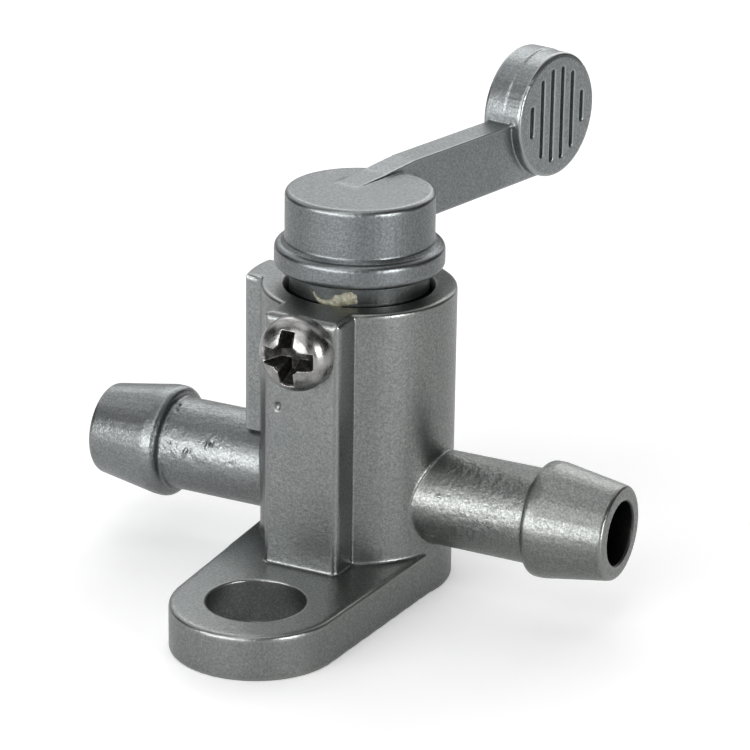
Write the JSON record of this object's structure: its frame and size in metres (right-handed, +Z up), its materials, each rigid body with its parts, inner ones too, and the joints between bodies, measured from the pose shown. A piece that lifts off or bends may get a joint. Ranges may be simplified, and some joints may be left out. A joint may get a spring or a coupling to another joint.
{
  "type": "fuel tap",
  "caption": "Inline metal fuel tap with barbed hose spigots in line, a lug with a bolt hole, and a turning lever with a round thumb disc.",
  "frame": {"origin": "on the plug's axis, at the underside of the mounting lug", "axes": "+Z up the plug towards the lever, X along the two hose spigots, the mounting lug reaches towards -Y"},
  "size_m": [0.0386, 0.0455, 0.0318],
  "materials": {
    "casting": "satin die-cast zinc alloy with a fine grain",
    "screw": "bright nickel plate",
    "seal": "smooth black nitrile rubber"
  },
  "bodies": {
    "body": {"tap_body": "casting", "stop_screw": "screw"},
    "lever": {"lever_plug": "casting", "stem_ring": "seal", "shutoff_ring_inlet": "seal", "shutoff_ring_outlet": "seal"}
  },
  "joints": [
    {"name": "lever_turn", "type": "hinge", "parent": "body", "child": "lever", "pos_m": [0, 0, 0.0205], "axis": [0, 0, 1], "range_deg": [-78.9, 11.1]}
  ]
}
